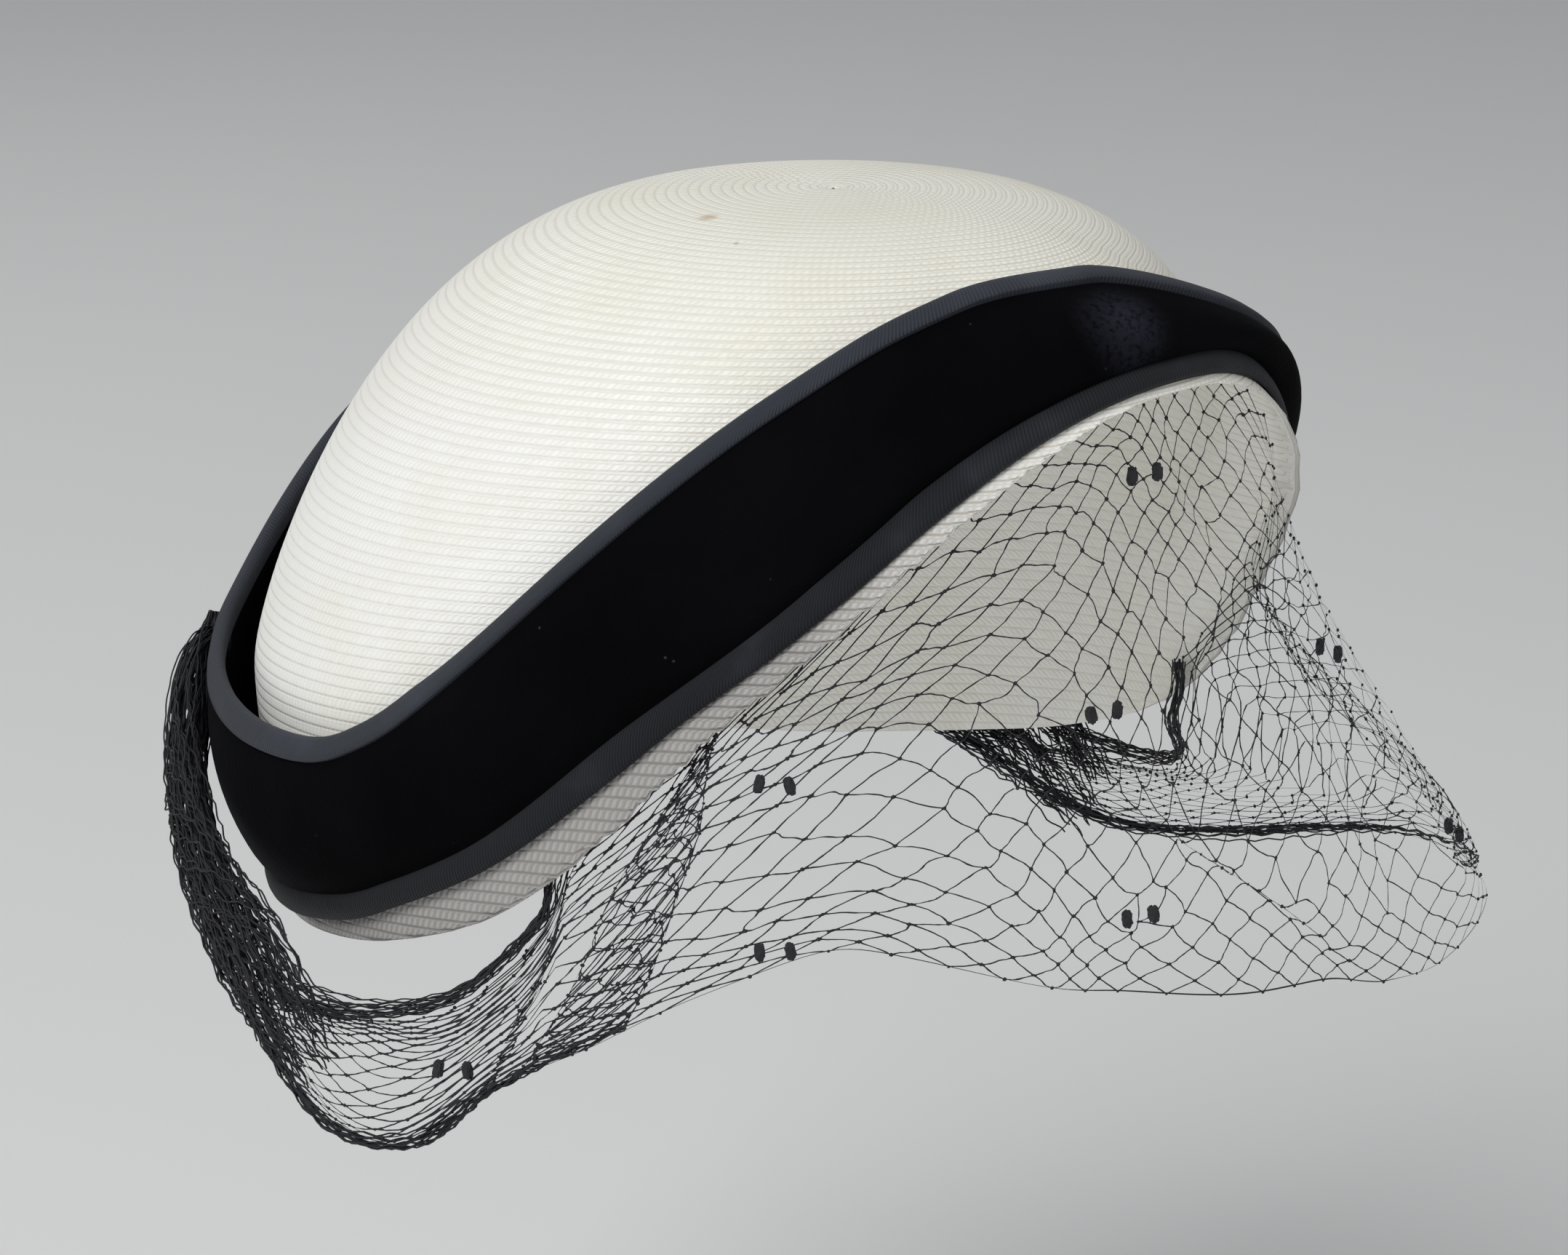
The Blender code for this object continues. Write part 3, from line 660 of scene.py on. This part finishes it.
def net(across, down):
    """The net's middle surface, from its top edge, down 0, to its lower edge, down 1."""
    across, down = np.broadcast_arrays(np.asarray(across, float), np.asarray(down, float))
    low_z, low_out = smooth_table(NET_EDGE, across)
    top = net_top(across)
    low = oval(across, low_z, low_out)
    drop = (top[..., 2] - low[..., 2])[..., None]
    inside = np.clip((NET_HELD + 4.0 - np.abs(across)) / 8.0, 0.0, 1.0)[..., None]
    first = top + (low - top) * np.array([0.30, 0.30, 0.33]) * (1 - inside)
    first = first - inside * drop * np.array([0.0, 0.0, 0.22])
    second = low + (top - low) * np.array([0.12, 0.12, 0.42])
    t = down[..., None]
    upper = top * (1 - t) ** 3 + 3 * first * t * (1 - t) ** 2
    return upper + 3 * second * t**2 * (1 - t) + low * t**3


def outward_of(places):
    """Outward direction of a grid of places round the head."""
    side, fall = np.gradient(places, axis=1), np.gradient(places, axis=0)
    normal = np.cross(side, fall)
    normal /= np.linalg.norm(normal, axis=-1, keepdims=True) + 1e-9
    facing = (normal * places * np.array([1.0, 1.0, 0.0])).sum(-1, keepdims=True)
    return normal * np.where(facing < 0, -1.0, 1.0)


def hung_net(u, v):
    """Where each part of the cloth hangs: uneven diamonds, bunched edges and soft folds."""
    edge = np.clip(v * 8.0, 0.0, 1.0)
    free = np.clip(np.minimum(u, 1.0 - u) * 10.0, 0.0, 1.0)
    wave = np.sin(41.0 * u + 5.0 * v) + 0.7 * np.sin(67.0 * u - 9.0 * v + 1.3)
    wave = wave + 0.5 * np.sin(23.0 * u + 13.0 * v)
    sway = np.sin(29.0 * u - 11.0 * v + 0.6) + 0.6 * np.sin(53.0 * u + 16.0 * v + 2.1)
    across = -98.0 + 196.0 * (u + 0.0036 * wave * free)
    off = np.zeros_like(u)
    for top, lean, width, depth in FOLDS:
        t = (across - (top + lean * v)) / width
        fold = np.exp(-0.5 * t**2) * edge * (0.62 + 0.38 * np.clip(v * 2.2, 0.0, 1.0))
        across = across - depth * t * fold
        off = off + 1.9 * t * fold
    pocket = np.clip((np.abs(across) - 72.0) / 12.0, 0.0, 1.0)
    bunch = np.minimum(0.18 + 0.27 * (v > 0.5) + 0.65 * pocket, 0.85)
    down = v + 0.016 * sway * edge * (1.25 - v)
    upper_less = 1.0 - 0.5 * (1.0 - pocket) * (down < 0.5)
    down = down - bunch * np.sin(2 * math.pi * down) / (2 * math.pi) * upper_less
    crease = (down - 0.72 - 0.0095 * (across + 9.6)) / 0.05
    pulled = np.exp(-0.5 * crease**2 - ((across - 2.0) / 13.0) ** 2)
    down = down - 0.055 * crease * pulled
    off = off + 1.5 * crease * pulled
    return across, np.clip(down, 0.0, 1.0), off


def between_crossings(field):
    """Values for the crossings of the threads, filled in for the sheet's other corners."""
    step = CORNERS / 2
    over, under = np.arange(columns) / step, np.arange(rows) / step
    lines = [np.interp(over, np.arange(field.shape[1]), line) for line in field]
    filled = [np.interp(under, np.arange(len(field)), line) for line in np.array(lines).T]
    return np.array(filled).T


columns, rows = DIAMONDS_ALONG * CORNERS + 1, DIAMONDS_DOWN * CORNERS + 1
u, v = np.meshgrid(np.linspace(0.0, 1.0, columns), np.linspace(0.0, 1.0, rows))
dice = np.random.default_rng(6)
slips = dice.normal(0.0, SLACK, (2, DIAMONDS_DOWN * 2 + 1, DIAMONDS_ALONG * 2 + 1))
inner = np.clip(np.minimum(v, 1.0 - v) * 9.0, 0.0, 1.0)
inner = inner * np.clip(np.minimum(u, 1.0 - u) * 12.0, 0.0, 1.0)
loose_u = between_crossings(slips[0]) * inner / DIAMONDS_ALONG
loose_v = between_crossings(slips[1]) * inner / DIAMONDS_DOWN
across, down, off = hung_net(u + loose_u, v + loose_v)
hanging = net(across, down)
billow = 0.5 * np.sin(60.0 * u + 8.0 * v) + 0.4 * np.sin(95.0 * u - 14.0 * v)
smooth_out = hanging * np.array([1.0, 1.0, 0.0])
smooth_out /= np.linalg.norm(smooth_out, axis=-1, keepdims=True)
hanging = hanging + smooth_out * (billow * np.clip(v * 4.0, 0.0, 1.0) + off)[..., None]
# How far apart the threads of each family lie, so that they are drawn equally thick everywhere
du = np.gradient(hanging, axis=1) * (columns - 1) / DIAMONDS_ALONG
dv = np.gradient(hanging, axis=0) * (rows - 1) / DIAMONDS_DOWN
area = np.linalg.norm(np.cross(du, dv), axis=-1)
gap_a = area / (np.linalg.norm(du - dv, axis=-1) + 1e-9)
gap_b = area / (np.linalg.norm(du + dv, axis=-1) + 1e-9)
bm = cloth(hanging, np.stack([u, v], -1), joined=False, gap_a=gap_a, gap_b=gap_b)

net_thread, shader, start = new_finish("net_thread", Roughness=0.7, Specular_IOR_Level=0.3)
flat = start.node("UVMap", uv_map="UVMap")
u_of = start.node("SeparateXYZ", [flat], output=0) * DIAMONDS_ALONG
v_of = start.node("SeparateXYZ", [flat], output=1) * DIAMONDS_DOWN
one_way, other_way = u_of + v_of, u_of - v_of
slack = start.node("TexNoise", {0: flat, 2: 22.0, 3: 2.0})
curl = (slack - 0.5) * CURL
line_a = one_way + (other_way * (2 * math.pi)).sine() * curl * 0.5
line_b = other_way + (one_way * (2 * math.pi)).sine() * curl * 0.5
apart_a = start.node("Attribute", attribute_name="gap_a", output=2)
apart_b = start.node("Attribute", attribute_name="gap_b", output=2)
from_a = abs((line_a + 0.5).fraction() - 0.5) * apart_a
from_b = abs((line_b + 0.5).fraction() - 0.5) * apart_b
thin = start.node("TexNoise", {0: flat, 2: 160.0, 3: 1.0}) * 0.12 + (THREAD / 2 - 0.06)
thread_a = from_a.maths("LESS_THAN", thin)
thread_b = from_b.maths("LESS_THAN", thin)
knot = (from_a * from_a + from_b * from_b).maths("LESS_THAN", 0.10)
hem = start.node("SeparateXYZ", [flat], output=1).maths("GREATER_THAN", 0.9965)
there = thread_a.maths("MAXIMUM", thread_b).maths("MAXIMUM", knot).maths("MAXIMUM", hem)
colour = slack.blend((0.008, 0.008, 0.011), (0.032, 0.032, 0.038))
joined_to(shader, Base_Color=colour, Alpha=there)
veil = finished("veil_cloth", bm, net_thread, turned=False)
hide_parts("veil_net")


# Knots of the net.
# Where two threads cross they are tied in a small hard knot, a little thicker than the threads.
KNOT = 0.34

bm = bmesh.new()
dice = np.random.default_rng(4)
half = CORNERS // 2
for j in range(0, rows, half):
    for i in range(half * ((j // half) % 2), columns, CORNERS):
        size = KNOT * dice.uniform(0.8, 1.25)
        turned = Matrix.Rotation(math.radians(across[j, i]), 4, "Z")
        spot = Matrix.Translation(Vector(hanging[j, i]) * MM)
        shape = Matrix.Diagonal((size * 1.15 * MM, size * 0.75 * MM, size * MM, 1.0))
        bmesh.ops.create_icosphere(bm, subdivisions=1, radius=1.0, matrix=spot @ turned @ shape)
thread_black, shader, start = new_finish("thread_black", Roughness=0.75, Specular_IOR_Level=0.3)
place = start.node("TexCoord", output=3)
fibre = start.node("TexNoise", {0: place, 2: 700.0, 3: 2.0, 4: 0.6})
tone = start.node("TexNoise", {0: place, 2: 90.0, 3: 2.0})
colour = (fibre * 0.5 + tone * 0.5).blend((0.003, 0.003, 0.004), (0.040, 0.041, 0.047))
bump = start.node("Bump", {"Strength": 0.5, "Distance": 0.0002, "Height": fibre})
joined_to(shader, Base_Color=colour, Normal=bump)
knots = finished("veil_knots", bm, thread_black)


# Gathered ends and rolled top edge of the net.
# At each side the net is drawn together into a rope of slack threads and caught to the upper tape
# at the back. Between there and the straw its top edge rolls up on itself into a thin cord.
GATHER = [
    # angle, z, out, wide, deep
    (-147.5, -9.0, 8.6, 5.0, 3.0),
    (-146.0, -14.0, 9.3, 9.0, 4.5),
    (-140.3, -19.0, 10.4, 17.5, 5.6),
    (-130.8, -28.3, 11.0, 23.0, 6.2),
    (-119.6, -36.9, 11.4, 24.5, 6.2),
    (-108.6, -44.4, 12.0, 26.0, 5.6),
    (-99.5, -51.2, 12.3, 27.0, 4.2),
    (-93.4, -59.4, 12.6, 25.0, 2.8),
    (-88.5, -66.0, 12.4, 22.0, 2.0),
]
HEM_STRANDS = [
    # angle, z, out
    (-124.0, -43.0, 11.8),
    (-113.0, -51.0, 12.0),
    (-106.0, -58.0, 12.2),
]
MESH_STEP = 6.5
BUNCH_THREAD = 0.34
ROLL_THREAD = 0.28
BUNCH_FULLER = np.array([1.0, 1.0, 1.0, 1.05, 1.4])


def drawn_together(path, number, seed, kink, twist, ragged):
    """Slack threads that run side by side along a path, as a net does when it is bunched.

    They may stop short of the path's end by up to the part of it that is ragged.
    """
    dice = np.random.default_rng(seed)
    centres, wide, deep = path[:, :3], path[:, 3], path[:, 4]
    ahead = np.gradient(centres, axis=0)
    ahead /= np.linalg.norm(ahead, axis=1, keepdims=True)
    outward = centres * np.array([1.0, 1.0, 0.0])
    outward -= (outward * ahead).sum(1, keepdims=True) * ahead
    outward /= np.linalg.norm(outward, axis=1, keepdims=True)
    side = np.cross(ahead, outward)
    s = np.linspace(0.0, 1.0, len(path))
    length = np.linalg.norm(np.diff(centres, axis=0), axis=1).sum()
    lines = []
    for k in range(number):
        phase = dice.uniform(0.0, 1.0, 4)
        wander = 0.10 * np.sin(2 * math.pi * (1.6 * s + phase[1]))
        turn = 2 * math.pi * (phase[0] + twist * s + wander)
        reach = np.sqrt(0.08 + 0.86 * dice.uniform())
        reach = reach + 0.10 * np.sin(2 * math.pi * (2.3 * s + phase[2]))
        mesh = (s * length / MESH_STEP + 0.5 * k + 0.3 * phase[3]) % 1.0
        zigzag = np.abs(mesh * 2.0 - 1.0) * 2.0 - 1.0
        over = np.cos(turn) * reach * wide / 2 + zigzag * kink
        under = np.sin(turn) * reach * deep / 2 + np.roll(zigzag, 5) * kink * 0.5
        line = centres + side * over[:, None] + outward * under[:, None]
        lines.append(line[:round(len(path) * (1.0 - ragged * dice.uniform()))])
    return lines


def threads(name, lines, thick):
    """Round threads along lines of places, as one mesh."""
    curve = bpy.data.curves.new(name, "CURVE")
    curve.dimensions = "3D"
    curve.bevel_depth = thick / 2 * MM
    curve.bevel_resolution = 1
    curve.use_fill_caps = True
    for line in lines:
        spline = curve.splines.new("POLY")
        spline.points.add(len(line) - 1)
        spline.points.foreach_set("co", np.column_stack([line * MM, np.ones(len(line))]).ravel())
    holder = bpy.data.objects.new(name, curve)
    bpy.context.scene.collection.objects.link(holder)
    ready = holder.evaluated_get(bpy.context.evaluated_depsgraph_get())
    mesh = bpy.data.meshes.new_from_object(ready)
    bm = bmesh.new()
    bm.from_mesh(mesh)
    bpy.data.objects.remove(holder)
    bpy.data.curves.remove(curve)
    bpy.data.meshes.remove(mesh)
    return bm


def mirrored(path):
    """A path for the other side of the hat."""
    return path * np.array([-1.0, 1.0, 1.0, 1.0, 1.0])


def hem_path(turned_over):
    """From the bundle on along the net's own lower edge, a quarter of the net's length."""
    begin = np.array([(*oval(a, z, o), 3.6, 2.2) for a, z, o in HEM_STRANDS])
    edge = hanging[-3]
    if turned_over:
        begin, edge = mirrored(begin), edge[::-1]
    ahead = edge[8:columns // 4:9]
    sizes = np.tile([3.0, 1.4], (len(ahead), 1))
    return curve_through(np.vstack([begin, np.hstack([ahead, sizes])]), 120)


gather_path = curve_through([(*oval(a, z, o), w, d) for a, z, o, w, d in GATHER], 100)
roll_path = top_roll_path(70)
for side, turned_over in (("right", False), ("left", True)):
    path = mirrored(gather_path) if turned_over else gather_path
    lines = drawn_together(path * BUNCH_FULLER, 140, 11, 0.38, 0.10, 0.24)
    lines += drawn_together(hem_path(turned_over), 11, 31, 0.3, 0.25, 0.4)
    bunch = finished("veil_gathers_" + side, threads("gathers", lines, BUNCH_THREAD), thread_black)
    path = mirrored(roll_path) if turned_over else roll_path
    lines = drawn_together(path, 20, 23, 0.26, 0.5, 0.12)
    bm = threads("rolled", lines, ROLL_THREAD)
    rolled = finished("veil_rolled_edge_" + side, bm, thread_black)
    for piece, node in ((bunch, "veil_gather_" + side), (rolled, "veil_roll_" + side)):
        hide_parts(node)


# Chenille tufts.
# Pairs of short black chenille beads are clipped on to the net a few millimetres apart, here and
# there over the veil. Each is a short stub of pile with a slightly ragged surface.
TUFTS = [
    # along and down the net, as parts of its width and depth
    (0.490, 0.222),
    (0.447, 0.556),
    (0.340, 0.467),
    (0.333, 0.911),
    (0.467, 0.822),
    (0.080, 0.567),
    (0.690, 0.400),
    (0.740, 0.850),
]
TUFT_APART = 5.4
TUFT_SIZE = (0.9, 0.8, 1.6)

bm = bmesh.new()
dice = np.random.default_rng(8)
outwards = outward_of(hanging)
for along, fall in TUFTS:
    j = round(fall * (rows - 1))
    i = round(along * (columns - 1))
    outward = outwards[j, i]
    beside = np.cross(outward, (0.0, 0.0, 1.0))
    beside /= np.linalg.norm(beside)
    for half in (-0.5, 0.5):
        middle = hanging[j, i] + outward * 0.5 + beside * TUFT_APART * half
        faced = Matrix.Rotation(math.radians(across[j, i]), 4, "Z")
        tilt = faced @ Matrix.Rotation(dice.uniform(-0.35, 0.35), 4, "Y")
        bead = bmesh.ops.create_icosphere(bm, subdivisions=3, radius=1.0)
        for vert in bead["verts"]:
            ragged = dice.uniform(0.86, 1.2)
            square = [math.copysign(abs(c) ** 0.7, c) for c in vert.co]
            shape = [c * s * ragged * MM for c, s in zip(square, TUFT_SIZE)]
            vert.co = Vector(middle) * MM + tilt @ Vector(shape)
tufts = finished("veil_tufts", bm, thread_black, smooth=False)


# Camera, floor and lights.
# The hat floats above a plain pale floor at the height at which it is worn, in soft light.
CAMERA_EYE = Vector((-0.6291, -0.6660, 0.2785))
CAMERA_AIM = Vector((0.66420, 0.68720, -0.29430))

camera = bpy.data.objects.new("camera", bpy.data.cameras.new("camera"))
bpy.context.scene.collection.objects.link(camera)
camera.data.lens = 113.4
camera.data.sensor_width = 36.0
camera.data.clip_start = 0.05
camera.location = CAMERA_EYE
camera.rotation_mode = "QUATERNION"
camera.rotation_quaternion = CAMERA_AIM.to_track_quat("-Z", "Y")
bpy.context.scene.camera = camera

pale, shader, start = new_finish("pale_floor", Roughness=0.9, Specular_IOR_Level=0.1)
place = start.node("TexCoord", output=3)
cloud = start.node("TexNoise", {0: place, 2: 3.0, 3: 2.0})
joined_to(shader, Base_Color=(cloud * 0.3).blend((0.80, 0.80, 0.79), (0.76, 0.76, 0.76)))
bm = bmesh.new()
bmesh.ops.create_grid(bm, x_segments=4, y_segments=4, size=6.0)
bmesh.ops.translate(bm, verts=bm.verts[:], vec=(0.0, 0.0, -0.26))
floor_mesh = bpy.data.meshes.new("floor")
bm.to_mesh(floor_mesh)
bm.free()
floor_mesh.materials.append(pale)
floor = bpy.data.objects.new("floor", floor_mesh)
bpy.context.scene.collection.objects.link(floor)

for name, spot, size, power in (
    ("key_light", (-1.5, -0.35, 1.35), 0.9, 27.5),
    ("fill_light", (0.9, -1.6, 0.9), 1.6, 7.0),
    ("back_light", (0.3, 1.5, 1.3), 1.2, 6.0),
):
    light = bpy.data.objects.new(name, bpy.data.lights.new(name, "AREA"))
    light.data.size = size
    light.data.energy = power
    light.location = spot
    light.rotation_euler = (-Vector(spot)).to_track_quat("-Z", "Y").to_euler()
    bpy.context.scene.collection.objects.link(light)

bpy.context.scene.view_settings.view_transform = "Standard"
world = bpy.data.worlds.new("studio")
world.use_nodes = True
world.node_tree.nodes["Background"].inputs["Color"].default_value = (0.95, 0.97, 1.0, 1.0)
world.node_tree.nodes["Background"].inputs["Strength"].default_value = 0.31
bpy.context.scene.world = world
